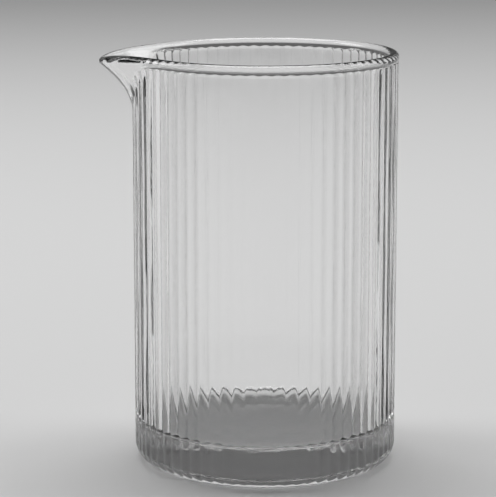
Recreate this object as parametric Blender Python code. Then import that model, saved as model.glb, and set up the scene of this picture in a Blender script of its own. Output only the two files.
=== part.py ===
"""A stirring and mixing glass for a bar: one pressed piece of clear glass.

A straight cup with a heavy flat base, upright reeds round its outside, a round
bead for a lip, and a pouring spout drawn out of the rim towards -X.
Units are metres. The origin is the middle of the flat base, and +Z is up.
"""

import math

import bmesh
import bpy
from mathutils import Vector

# Body
HEIGHT = 0.144
OUTER_RADIUS = 0.046
WALL = 0.0038
BASE_THICKNESS = 0.0135
HEEL_RADIUS = 0.006
FLOOR_FILLET = 0.003

# Reeds
REED_COUNT = 68
REED_DEPTH = 0.00065
REED_TOP = 0.0042
REED_END_LENGTH = 0.0014
REED_BLEND = 0.00012
HEEL_FADE_START = 0.45
HEEL_FADE_END = 0.85

# Spout
SPOUT_REACH = 0.0173
SPOUT_DEPTH = 0.021
SPOUT_TIP_RADIUS = 0.003
SPOUT_THINNING = 0.0006
SPOUT_DIP = 0.0018
SPOUT_TIP_REACH = 0.0126
SPOUT_SMOOTH_SHARE = 0.12

# Mesh
COLUMNS_PER_REED = 4
FINE = REED_COUNT * COLUMNS_PER_REED
COARSE = FINE // 2
LIP_STEPS = 4
HEEL_STEPS = 3
FILLET_STEPS = 2
NECK_SHARES = (0.72, 0.45)
REED_DEPTHS = (0.0036, 0.0043, 0.0085, 0.012, 0.016, 0.021)
INNER_DEPTHS = (0.0034, 0.006, 0.0095, 0.0135, 0.0175, 0.0215)
SLOPE_STEP = 1e-5

# Glass
GLASS_COLOUR = (0.95, 0.96, 0.96, 1.0)
GLASS_ROUGHNESS = 0.02
GLASS_IOR = 1.5

HALF_WALL = WALL / 2
MIDDLE_RADIUS = OUTER_RADIUS - HALF_WALL
INNER_RADIUS = OUTER_RADIUS - WALL
VALLEY_OFFSET = HALF_WALL - REED_DEPTH


def smooth_step(value, low, high):
    """0 below low, 1 above high, and an S curve between them."""
    share = min(max((value - low) / (high - low), 0.0), 1.0)
    return share * share * (3 - 2 * share)


def smooth_max(first, second, blend):
    """The larger value, with the corner where the two cross rounded off."""
    overlap = max(blend - abs(first - second), 0.0)
    return max(first, second) + overlap * overlap / (4 * blend)


def spout_reach(depth):
    """How far the middle of the spout's wall stands out, this far below the rim."""
    share = min(max(depth / SPOUT_DEPTH, 0.0), 1.0)
    return SPOUT_REACH * (1 - share) ** 2


def plan_radius(angle, depth):
    """Radius of the wall's middle: the body's circle joined by tangents to the spout's small round tip."""
    tip_centre = MIDDLE_RADIUS + spout_reach(depth) - SPOUT_TIP_RADIUS
    tangent = math.acos((MIDDLE_RADIUS - SPOUT_TIP_RADIUS) / tip_centre)
    away = abs(angle)
    if away >= tangent:
        return MIDDLE_RADIUS
    tip_edge = math.atan2(
        SPOUT_TIP_RADIUS * math.sin(tangent),
        tip_centre + SPOUT_TIP_RADIUS * math.cos(tangent),
    )
    if away < tip_edge:
        across = tip_centre * math.sin(away)
        return tip_centre * math.cos(away) + math.sqrt(SPOUT_TIP_RADIUS**2 - across**2)
    return MIDDLE_RADIUS / math.cos(tangent - away)


def spout_share(angle, depth):
    """0 on the round body, 1 at the tip of the spout."""
    return (plan_radius(angle, depth) - MIDDLE_RADIUS) / SPOUT_TIP_REACH


def half_thickness(angle, depth):
    return HALF_WALL - SPOUT_THINNING * spout_share(angle, depth)


def lip_depth(angle):
    """Depth of the lip bead's centre: the rim is level, and dips at the spout's tip."""
    share = spout_share(angle, HALF_WALL)
    return half_thickness(angle, HALF_WALL) + SPOUT_DIP * share * share


def ring_point(angle, radius, height):
    """A point round the axis; angle 0 is the spout, towards -X."""
    return Vector((-radius * math.cos(angle), -radius * math.sin(angle), height))


def wall_middle(angle, depth):
    return ring_point(angle, plan_radius(angle, depth), HEIGHT - depth)


def wall_frame(angle, depth):
    """The wall's middle point, its outward normal and its upward tangent."""
    middle = wall_middle(angle, depth)
    along = wall_middle(angle + SLOPE_STEP, depth) - wall_middle(angle - SLOPE_STEP, depth)
    upward = wall_middle(angle, depth - SLOPE_STEP) - wall_middle(angle, depth + SLOPE_STEP)
    normal = along.cross(upward).normalized()
    return middle, normal, upward.normalized()


def reed_relief(angle, depth):
    """Height of the reeds above the valleys between them. Each reed is an arc with a round upper end."""
    pitch = 2 * math.pi * OUTER_RADIUS / REED_COUNT
    place = angle * REED_COUNT / (2 * math.pi)
    across = (place - round(place)) * pitch
    above_end = max(REED_TOP - depth, 0.0) * (pitch / 2) / REED_END_LENGTH
    arc_radius = (pitch * pitch / 4 + REED_DEPTH**2) / (2 * REED_DEPTH)
    inside = arc_radius**2 - across**2 - above_end**2
    return max(math.sqrt(max(inside, 0.0)) - (arc_radius - REED_DEPTH), 0.0)


def outer_offset(angle, depth):
    """Distance from the wall's middle to its outer face: bead, neck and reeds, all smooth on the spout."""
    thickness = half_thickness(angle, depth)
    below_lip = max(depth - lip_depth(angle), 0.0)
    bead = math.sqrt(max(thickness**2 - below_lip**2, 0.0))
    reeded = smooth_max(bead, VALLEY_OFFSET + reed_relief(angle, depth), REED_BLEND)
    smooth = smooth_step(spout_share(angle, depth), 0.0, SPOUT_SMOOTH_SHARE)
    return reeded + (thickness - reeded) * smooth


def outer_point(angle, depth):
    middle, normal, _ = wall_frame(angle, depth)
    return middle + normal * outer_offset(angle, depth)


def neck_point(angle, share):
    """A point of the outer face between the lip bead, share 0, and the highest reed ring, share 1."""
    top = lip_depth(angle)
    return outer_point(angle, top + (REED_DEPTHS[0] - top) * share)


def inner_point(angle, depth):
    middle, normal, _ = wall_frame(angle, depth)
    return middle - normal * half_thickness(angle, depth)


def lip_point(angle, turn):
    """A point of the lip bead: turn 0 is its outer side, half a turn its inner side."""
    depth = lip_depth(angle)
    middle, normal, upward = wall_frame(angle, depth)
    size = half_thickness(angle, depth)
    return middle + (normal * math.cos(turn) + upward * math.sin(turn)) * size


def heel_point(angle, turn):
    """The rounded foot: turn 0 is the wall, a quarter turn the flat base. The reeds fade out over it."""
    share = turn / (math.pi / 2)
    fade = 1 - smooth_step(share, HEEL_FADE_START, HEEL_FADE_END)
    sunk = (REED_DEPTH - reed_relief(angle, HEIGHT - HEEL_RADIUS)) * fade
    reach = HEEL_RADIUS - sunk
    radius = OUTER_RADIUS - HEEL_RADIUS + reach * math.cos(turn)
    return ring_point(angle, radius, HEEL_RADIUS - reach * math.sin(turn))


def fillet_point(angle, turn):
    """The round between the inner wall and the floor."""
    radius = INNER_RADIUS - FLOOR_FILLET * (1 - math.cos(turn))
    height = BASE_THICKNESS + FLOOR_FILLET * (1 - math.sin(turn))
    return ring_point(angle, radius, height)


def angles(count):
    return [2 * math.pi * step / count - math.pi for step in range(count)]


def add_ring(mesh, count, point_at):
    return [mesh.verts.new(point_at(angle)) for angle in angles(count)]


def join_rings(mesh, lower, upper):
    """Joins two rings of one count, or of counts one of which is twice the other."""
    count = max(len(lower), len(upper))
    for step in range(count):
        following = (step + 1) % count
        corners = []
        for ring, order in ((lower, (step, following)), (upper, (following, step))):
            ratio = count // len(ring)
            for place in order:
                corner = ring[((place + ratio // 2) // ratio) % len(ring)]
                if corner not in corners:
                    corners.append(corner)
        mesh.faces.new(corners)


def close_ring(mesh, ring, centre, upward):
    middle = mesh.verts.new(centre)
    count = len(ring)
    for step in range(count):
        edge = (ring[step], ring[(step + 1) % count])
        first, second = edge if upward else edge[::-1]
        mesh.faces.new((middle, first, second))


def glass_rings(mesh):
    """Rings in order, from the edge of the flat base up the outside, over the lip and down the inside."""
    rings = [add_ring(mesh, COARSE, lambda angle: heel_point(angle, math.pi / 2))]
    for step in range(HEEL_STEPS - 1, -1, -1):
        turn = math.pi / 2 * step / HEEL_STEPS
        rings.append(add_ring(mesh, FINE, lambda angle: heel_point(angle, turn)))
    for depth in reversed(REED_DEPTHS):
        rings.append(add_ring(mesh, FINE, lambda angle: outer_point(angle, depth)))
    for share in NECK_SHARES:
        rings.append(add_ring(mesh, COARSE, lambda angle: neck_point(angle, share)))
    for step in range(LIP_STEPS + 1):
        turn = math.pi * step / LIP_STEPS
        rings.append(add_ring(mesh, COARSE, lambda angle: lip_point(angle, turn)))
    for depth in INNER_DEPTHS:
        rings.append(add_ring(mesh, COARSE, lambda angle: inner_point(angle, depth)))
    for step in range(FILLET_STEPS + 1):
        turn = math.pi / 2 * step / FILLET_STEPS
        rings.append(add_ring(mesh, COARSE, lambda angle: fillet_point(angle, turn)))
    return rings


def make_glass_material():
    material = bpy.data.materials.new("clear_glass")
    material.use_nodes = True
    shader = material.node_tree.nodes["Principled BSDF"]
    shader.inputs["Base Color"].default_value = GLASS_COLOUR
    shader.inputs["Roughness"].default_value = GLASS_ROUGHNESS
    shader.inputs["Metallic"].default_value = 0.0
    shader.inputs["IOR"].default_value = GLASS_IOR
    shader.inputs["Transmission Weight"].default_value = 1.0
    return material


def make_glass_vessel():
    mesh = bmesh.new()
    rings = glass_rings(mesh)
    for lower, upper in zip(rings, rings[1:]):
        join_rings(mesh, lower, upper)
    close_ring(mesh, rings[0], (0, 0, 0), upward=False)
    close_ring(mesh, rings[-1], (0, 0, BASE_THICKNESS), upward=True)
    bmesh.ops.recalc_face_normals(mesh, faces=mesh.faces)
    data = bpy.data.meshes.new("glass_vessel")
    mesh.to_mesh(data)
    mesh.free()
    data.shade_smooth()
    data.set_sharp_from_angle(angle=math.radians(50))
    data.materials.append(make_glass_material())
    vessel = bpy.data.objects.new("glass_vessel", data)
    bpy.context.scene.collection.objects.link(vessel)


def main():
    for obj in list(bpy.data.objects):
        bpy.data.objects.remove(obj, do_unlink=True)
    make_glass_vessel()


main()
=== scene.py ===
"""Looks for the mixing glass: a fine mesh of clear pressed glass, a pale floor, soft light and the camera."""

import math

import bpy
import numpy as np
from mathutils import Euler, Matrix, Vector


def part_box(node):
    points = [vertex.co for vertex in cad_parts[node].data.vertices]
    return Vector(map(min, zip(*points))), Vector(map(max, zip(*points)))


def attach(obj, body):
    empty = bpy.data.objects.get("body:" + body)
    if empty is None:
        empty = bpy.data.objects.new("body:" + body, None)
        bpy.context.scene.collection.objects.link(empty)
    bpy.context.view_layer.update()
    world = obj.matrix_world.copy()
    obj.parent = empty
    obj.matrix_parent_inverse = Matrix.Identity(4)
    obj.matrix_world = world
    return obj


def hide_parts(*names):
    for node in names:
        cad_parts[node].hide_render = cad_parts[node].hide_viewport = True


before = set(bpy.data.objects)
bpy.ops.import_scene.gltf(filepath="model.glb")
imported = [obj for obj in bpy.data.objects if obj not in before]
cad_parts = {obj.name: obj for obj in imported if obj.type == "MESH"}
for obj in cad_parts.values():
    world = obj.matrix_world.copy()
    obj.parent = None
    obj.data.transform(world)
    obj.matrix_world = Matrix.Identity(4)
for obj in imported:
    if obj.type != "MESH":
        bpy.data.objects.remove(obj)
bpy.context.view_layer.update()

NODE = "glass_vessel"
NODE_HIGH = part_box(NODE)[1]

# Body: height and radius from the frame, the rest as in the CAD part
HEIGHT = NODE_HIGH[2]
OUTER_RADIUS = NODE_HIGH[0]
WALL = 0.0038
BASE_THICKNESS = 0.0135
HEEL_RADIUS = 0.006
FLOOR_FILLET = 0.003

# Reeds
REED_COUNT = 68
REED_DEPTH = 0.00065
REED_TOP = 0.0042
REED_END_LENGTH = 0.0014
REED_BLEND = 0.00012
HEEL_FADE_START = 0.45
HEEL_FADE_END = 0.85

# Spout: its reach is 0.05 mm under the CAD part's, to stay inside its box
SPOUT_REACH = 0.01725
SPOUT_DEPTH = 0.021
SPOUT_TIP_RADIUS = 0.003
SPOUT_THINNING = 0.0006
SPOUT_DIP = 0.0018
SPOUT_TIP_REACH = 0.0126
SPOUT_SMOOTH_SHARE = 0.12

# Pressing marks: no two reeds are quite alike, and the plunger leaves the inner wall slightly wavy
REED_SPREAD = 0.18
SWAY = 0.045
SWAY_WAVES = (3.0, 7.0)
CHILL_DEPTH = 0.12
CHILL_WAVE = 0.0042
CHILL_TOP = 0.030
PLUNGER_RIPPLE = 0.000018
PLUNGER_WAVES = ((5, 1.0), (13, 2.0), (29, 1.0), (41, 3.0))
RIPPLE_FADE = 0.008

# Fine mesh
COLUMNS_PER_REED = 10
COLUMNS = REED_COUNT * COLUMNS_PER_REED
HEEL_STEPS = 9
FOOT_HEIGHT = 0.026
FOOT_STEPS = 26
WALL_STEPS = 16
SPOUT_STEPS = 12
CROWN_STEPS = 14
LIP_STEPS = 14
INNER_SPOUT_STEPS = 10
INNER_WALL_STEPS = 14
FILLET_STEPS = 8
SLOPE_STEP = 1e-5

HALF_WALL = WALL / 2
MIDDLE_RADIUS = OUTER_RADIUS - HALF_WALL
INNER_RADIUS = OUTER_RADIUS - WALL
VALLEY_OFFSET = HALF_WALL - REED_DEPTH
INNER_BOTTOM = HEIGHT - BASE_THICKNESS - FLOOR_FILLET

# Camera, in metres from the glass's axis and base
CAMERA_DISTANCE = 0.781
CAMERA_HEIGHT = 0.2313
CAMERA_PITCH = math.radians(11.35)
CAMERA_YAW = math.radians(0.44)
CAMERA_LENS = 164.8
CAMERA_SENSOR = 36.0
CAMERA_CLIP_START = 0.01

# Glass surface: noise scales are waves a metre along each axis, and bump distances are metres
GLASS_COLOUR = (1.0, 1.0, 1.0, 1.0)
GLASS_IOR = 1.5
DRAWN_SCALE = (320, 320, 45)
DRAWN_BUMP = 0.00004
PEEL_SCALE = (900, 900, 500)
PEEL_BUMP = 0.000007
POLISH_SCALE = (120, 120, 60)
POLISH_ROUGHNESS = 0.008
WAVE_DETAIL = 2.0
FINISH_DETAIL = 3.0

# Studio: a pale floor, a dim even surround, and three softboxes that everything sees
FLOOR_COLOUR = (0.66, 0.66, 0.66, 1.0)
FLOOR_GRAIN_SCALE = (60, 60, 60)
FLOOR_BUMP = 0.0001
FLOOR_ROUGHNESS = (0.8, 1.0)
FLOOR_DROP = -0.0003
FLOOR_REACH = 6.0
SURROUND_GLOW = 0.12
LIGHT_TARGET = (0, 0, 0.07)
SOFTBOXES = (
    # name, place, width, height, watts
    ("overhead", (0.0, 0.5, 1.8), 1.6, 1.2, 24),
    ("left", (-1.5, 0.3, 1.1), 0.8, 1.0, 10),
    ("right", (1.5, 0.3, 1.1), 0.8, 1.0, 7),
)


def smooth_step(value, low, high):
    share = np.clip((value - low) / (high - low), 0.0, 1.0)
    return share * share * (3 - 2 * share)


def smooth_max(first, second, blend):
    overlap = np.maximum(blend - np.abs(first - second), 0.0)
    return np.maximum(first, second) + overlap**2 / (4 * blend)


def spout_reach(depth):
    share = np.clip(depth / SPOUT_DEPTH, 0.0, 1.0)
    return SPOUT_REACH * (1 - share) ** 2


def plan_radius(angle, depth):
    """Radius of the wall's middle: the body's circle joined by tangents to the spout's small round tip."""
    tip_centre = MIDDLE_RADIUS + spout_reach(depth) - SPOUT_TIP_RADIUS
    tangent = np.arccos(np.clip((MIDDLE_RADIUS - SPOUT_TIP_RADIUS) / tip_centre, -1, 1))
    away = np.abs(angle)
    tip_edge = np.arctan2(
        SPOUT_TIP_RADIUS * np.sin(tangent),
        tip_centre + SPOUT_TIP_RADIUS * np.cos(tangent),
    )
    across = np.minimum(tip_centre * np.sin(away), SPOUT_TIP_RADIUS)
    tip = tip_centre * np.cos(away) + np.sqrt(SPOUT_TIP_RADIUS**2 - across**2)
    side = MIDDLE_RADIUS / np.cos(np.minimum(np.abs(tangent - away), 1.0))
    return np.where(away >= tangent, MIDDLE_RADIUS, np.where(away < tip_edge, tip, side))


def spout_share(angle, depth):
    return (plan_radius(angle, depth) - MIDDLE_RADIUS) / SPOUT_TIP_REACH


def half_thickness(angle, depth):
    return HALF_WALL - SPOUT_THINNING * spout_share(angle, depth)


def lip_depth(angle):
    share = spout_share(angle, HALF_WALL)
    return half_thickness(angle, HALF_WALL) + SPOUT_DIP * share**2


def ring_points(angle, radius, height):
    height = np.broadcast_to(height, angle.shape)
    return np.stack([-radius * np.cos(angle), -radius * np.sin(angle), height], axis=1)


def wall_middle(angle, depth):
    return ring_points(angle, plan_radius(angle, depth), HEIGHT - depth)


def unit(vectors):
    return vectors / np.linalg.norm(vectors, axis=1, keepdims=True)


def wall_frame(angle, depth):
    middle = wall_middle(angle, depth)
    along = wall_middle(angle + SLOPE_STEP, depth) - wall_middle(angle - SLOPE_STEP, depth)
    upward = wall_middle(angle, depth - SLOPE_STEP) - wall_middle(angle, depth + SLOPE_STEP)
    return middle, unit(np.cross(along, upward)), unit(upward)


def pressing_marks():
    """Each reed's own height, the turns of its sway, and the start of its chill waves."""
    draw = np.random.RandomState(11)
    height = 1 - REED_SPREAD * draw.rand(REED_COUNT)
    sway = draw.rand(REED_COUNT, 2) * 2 * math.pi
    chill = draw.rand(REED_COUNT) * 2 * math.pi
    return height, sway, chill


REED_HEIGHT, REED_SWAY, REED_CHILL = pressing_marks()


def reed_relief(angle, depth):
    """Height of the reeds above their valleys: arcs with a round upper end, a slow sway and chill waves."""
    pitch = 2 * math.pi * OUTER_RADIUS / REED_COUNT
    place = angle * REED_COUNT / (2 * math.pi)
    index = np.round(place).astype(int) % REED_COUNT
    offset = place - np.round(place)
    turns = 2 * math.pi * depth / HEIGHT
    sway = np.sin(SWAY_WAVES[0] * turns + REED_SWAY[index, 0])
    sway = (sway + np.sin(SWAY_WAVES[1] * turns + REED_SWAY[index, 1])) / 2
    across = (offset + SWAY * sway * (1 - 4 * offset**2)) * pitch
    above_end = np.maximum(REED_TOP - depth, 0.0) * (pitch / 2) / REED_END_LENGTH
    arc_radius = (pitch * pitch / 4 + REED_DEPTH**2) / (2 * REED_DEPTH)
    inside = np.maximum(arc_radius**2 - across**2 - above_end**2, 0.0)
    relief = np.maximum(np.sqrt(inside) - (arc_radius - REED_DEPTH), 0.0)
    wave = 0.5 + 0.5 * np.sin(2 * math.pi * depth / CHILL_WAVE + REED_CHILL[index])
    foot = 1 - smooth_step(HEIGHT - depth, CHILL_TOP / 2, CHILL_TOP)
    return relief * REED_HEIGHT[index] * (1 - CHILL_DEPTH * wave * foot)


def outer_offset(angle, depth):
    thickness = half_thickness(angle, depth)
    below_lip = np.maximum(depth - lip_depth(angle), 0.0)
    bead = np.sqrt(np.maximum(thickness**2 - below_lip**2, 0.0))
    reeded = smooth_max(bead, VALLEY_OFFSET + reed_relief(angle, depth), REED_BLEND)
    smooth = smooth_step(spout_share(angle, depth), 0.0, SPOUT_SMOOTH_SHARE)
    return reeded + (thickness - reeded) * smooth


def outer_ring(angle, depth):
    middle, normal, _ = wall_frame(angle, depth)
    return middle + normal * outer_offset(angle, depth)[:, None]


def plunger_ripple(angle, depth):
    """How far the inner wall stands in past its true circle. It goes both ways, so it is also below 0."""
    wave = np.zeros(angle.shape)
    for count, turns in PLUNGER_WAVES:
        wave += np.sin(count * angle + turns * 2 * math.pi * depth / HEIGHT + count)
    below_rim = smooth_step(depth, HALF_WALL, RIPPLE_FADE)
    above_floor = 1 - smooth_step(depth, INNER_BOTTOM - RIPPLE_FADE, INNER_BOTTOM)
    ends = below_rim * above_floor
    return PLUNGER_RIPPLE * wave * ends


def inner_ring(angle, depth):
    middle, normal, _ = wall_frame(angle, depth)
    inward = half_thickness(angle, depth) + plunger_ripple(angle, depth)
    return middle - normal * inward[:, None]


def lip_ring(angle, turn):
    depth = lip_depth(angle)
    middle, normal, upward = wall_frame(angle, depth)
    size = half_thickness(angle, depth)[:, None]
    return middle + (normal * math.cos(turn) + upward * math.sin(turn)) * size


def heel_ring(angle, turn):
    share = turn / (math.pi / 2)
    fade = 1 - smooth_step(share, HEEL_FADE_START, HEEL_FADE_END)
    relief = reed_relief(angle, np.full(angle.shape, HEIGHT - HEEL_RADIUS * (1 - turn)))
    reach = HEEL_RADIUS - (REED_DEPTH - relief) * fade
    radius = OUTER_RADIUS - HEEL_RADIUS + reach * math.cos(turn)
    return ring_points(angle, radius, HEEL_RADIUS - reach * math.sin(turn))


def fillet_ring(angle, turn):
    radius = INNER_RADIUS - FLOOR_FILLET * (1 - math.cos(turn))
    return ring_points(angle, radius, BASE_THICKNESS + FLOOR_FILLET * (1 - math.sin(turn)))


def spaced(start, end, steps):
    """Steps values after start, up to and with end."""
    return [start + (end - start) * (step + 1) / steps for step in range(steps)]


def column_angles():
    """Angles of the mesh's columns, closer together at the valleys, where the surface turns quickest."""
    share = 2 * np.arange(COLUMNS_PER_REED) / COLUMNS_PER_REED - 1
    spread = np.sin(math.pi / 2 * share) / 2
    place = np.arange(REED_COUNT)[:, None] + 0.5 + spread[None, :]
    return place.ravel() * 2 * math.pi / REED_COUNT - math.pi


def glass_rings():
    angle = column_angles()
    quarter = math.pi / 2
    rings = [heel_ring(angle, quarter)]
    rings += [heel_ring(angle, turn) for turn in spaced(quarter, 0.0, HEEL_STEPS)]
    depths = spaced(HEIGHT - HEEL_RADIUS, HEIGHT - FOOT_HEIGHT, FOOT_STEPS)
    depths += spaced(HEIGHT - FOOT_HEIGHT, SPOUT_DEPTH, WALL_STEPS)
    depths += spaced(SPOUT_DEPTH, REED_TOP, SPOUT_STEPS)
    rings += [outer_ring(angle, np.full(angle.shape, depth)) for depth in depths]
    lip = lip_depth(angle)
    for share in spaced(1.0, 0.0, CROWN_STEPS)[:-1]:
        rings.append(outer_ring(angle, lip + (REED_TOP - lip) * share))
    rings += [lip_ring(angle, turn) for turn in [0.0] + spaced(0.0, math.pi, LIP_STEPS)]
    for share in spaced(0.0, 1.0, INNER_SPOUT_STEPS):
        rings.append(inner_ring(angle, lip + (SPOUT_DEPTH - lip) * share))
    for depth in spaced(SPOUT_DEPTH, INNER_BOTTOM, INNER_WALL_STEPS)[:-1]:
        rings.append(inner_ring(angle, np.full(angle.shape, depth)))
    rings += [fillet_ring(angle, turn) for turn in [0.0] + spaced(0.0, quarter, FILLET_STEPS)]
    return rings


def make_vessel_mesh():
    rings = glass_rings()
    points = np.concatenate(rings + [[(0, 0, 0)], [(0, 0, BASE_THICKNESS)]])
    faces = []
    for ring in range(len(rings) - 1):
        low, high = ring * COLUMNS, (ring + 1) * COLUMNS
        for step in range(COLUMNS):
            following = (step + 1) % COLUMNS
            faces.append((low + step, low + following, high + following, high + step))
    under, floor = len(points) - 2, len(points) - 1
    last = (len(rings) - 1) * COLUMNS
    for step in range(COLUMNS):
        following = (step + 1) % COLUMNS
        faces.append((under, following, step))
        faces.append((floor, last + step, last + following))
    mesh = bpy.data.meshes.new("vessel_glass")
    mesh.from_pydata(points.tolist(), [], faces)
    mesh.shade_smooth()
    mesh.validate()
    return mesh


def new_material(name):
    material = bpy.data.materials.new(name)
    material.use_nodes = True
    return material, material.node_tree.nodes["Principled BSDF"]


def add_noise(material, scale, detail):
    """Noise over the object's own space, with a scale for each axis, in waves a metre."""
    tree = material.node_tree
    place = tree.nodes.new("ShaderNodeTexCoord")
    mapping = tree.nodes.new("ShaderNodeMapping")
    mapping.inputs["Scale"].default_value = scale
    noise = tree.nodes.new("ShaderNodeTexNoise")
    noise.inputs["Scale"].default_value = 1.0
    noise.inputs["Detail"].default_value = detail
    tree.links.new(place.outputs["Object"], mapping.inputs["Vector"])
    tree.links.new(mapping.outputs["Vector"], noise.inputs["Vector"])
    return noise.outputs["Fac"]


def add_bump(material, height, distance, below=None):
    tree = material.node_tree
    bump = tree.nodes.new("ShaderNodeBump")
    bump.inputs["Distance"].default_value = distance
    tree.links.new(height, bump.inputs["Height"])
    if below:
        tree.links.new(below, bump.inputs["Normal"])
    return bump.outputs["Normal"]


def add_range(material, value, low, high):
    tree = material.node_tree
    span = tree.nodes.new("ShaderNodeMapRange")
    span.inputs["To Min"].default_value = low
    span.inputs["To Max"].default_value = high
    tree.links.new(value, span.inputs["Value"])
    return span.outputs["Result"]


def glass_material():
    """Clear pressed glass: drawn and orange-peel waves in its surface, and a slightly uneven polish."""
    material, shader = new_material("clear_glass")
    shader.inputs["Base Color"].default_value = GLASS_COLOUR
    shader.inputs["IOR"].default_value = GLASS_IOR
    shader.inputs["Transmission Weight"].default_value = 1.0
    drawn = add_noise(material, DRAWN_SCALE, WAVE_DETAIL)
    peel = add_noise(material, PEEL_SCALE, WAVE_DETAIL)
    polish = add_noise(material, POLISH_SCALE, FINISH_DETAIL)
    tree = material.node_tree
    normal = add_bump(material, drawn, DRAWN_BUMP)
    normal = add_bump(material, peel, PEEL_BUMP, normal)
    tree.links.new(normal, shader.inputs["Normal"])
    roughness = add_range(material, polish, 0.0, POLISH_ROUGHNESS)
    tree.links.new(roughness, shader.inputs["Roughness"])
    return material


def floor_material():
    """Plain pale paint: matt, with a faint uneven finish."""
    material, shader = new_material("pale_floor")
    shader.inputs["Base Color"].default_value = FLOOR_COLOUR
    shader.inputs["Specular IOR Level"].default_value = 0.0
    finish = add_noise(material, FLOOR_GRAIN_SCALE, FINISH_DETAIL)
    tree = material.node_tree
    tree.links.new(add_range(material, finish, *FLOOR_ROUGHNESS), shader.inputs["Roughness"])
    tree.links.new(add_bump(material, finish, FLOOR_BUMP), shader.inputs["Normal"])
    return material


def add_mesh(name, points, faces, material):
    mesh = bpy.data.meshes.new(name)
    mesh.from_pydata(points, [], faces)
    mesh.materials.append(material)
    made = bpy.data.objects.new(name, mesh)
    bpy.context.scene.collection.objects.link(made)
    return made


def make_vessel():
    mesh = make_vessel_mesh()
    mesh.materials.append(glass_material())
    vessel = bpy.data.objects.new("vessel_glass", mesh)
    bpy.context.scene.collection.objects.link(vessel)
    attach(vessel, "root")
    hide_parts(NODE)


def make_floor():
    side = FLOOR_REACH
    drop = FLOOR_DROP
    corners = [(-side, -side, drop), (side, -side, drop), (side, side, drop), (-side, side, drop)]
    add_mesh("floor", corners, [(0, 1, 2, 3)], floor_material())


def add_softbox(name, place, width, height, watts):
    """A plain rectangular soft light that faces the glass."""
    light = bpy.data.lights.new(name, "AREA")
    light.shape = "RECTANGLE"
    light.size = width
    light.size_y = height
    light.energy = watts
    holder = bpy.data.objects.new(name, light)
    holder.location = place
    facing = Vector(LIGHT_TARGET) - Vector(place)
    holder.rotation_euler = facing.to_track_quat("-Z", "Y").to_euler()
    bpy.context.scene.collection.objects.link(holder)


def make_world():
    world = bpy.data.worlds.new("studio")
    world.use_nodes = True
    background = world.node_tree.nodes["Background"]
    background.inputs["Color"].default_value = (1, 1, 1, 1)
    background.inputs["Strength"].default_value = SURROUND_GLOW
    bpy.context.scene.world = world


def make_camera():
    data = bpy.data.cameras.new("camera")
    data.lens = CAMERA_LENS
    data.sensor_width = CAMERA_SENSOR
    data.clip_start = CAMERA_CLIP_START
    camera = bpy.data.objects.new("camera", data)
    camera.location = (0, -CAMERA_DISTANCE, CAMERA_HEIGHT)
    camera.rotation_euler = Euler((math.pi / 2 - CAMERA_PITCH, 0, CAMERA_YAW))
    bpy.context.scene.collection.objects.link(camera)
    bpy.context.scene.camera = camera


make_camera()
make_vessel()
make_floor()
make_world()
for softbox in SOFTBOXES:
    add_softbox(*softbox)
bpy.context.scene.view_settings.view_transform = "Standard"
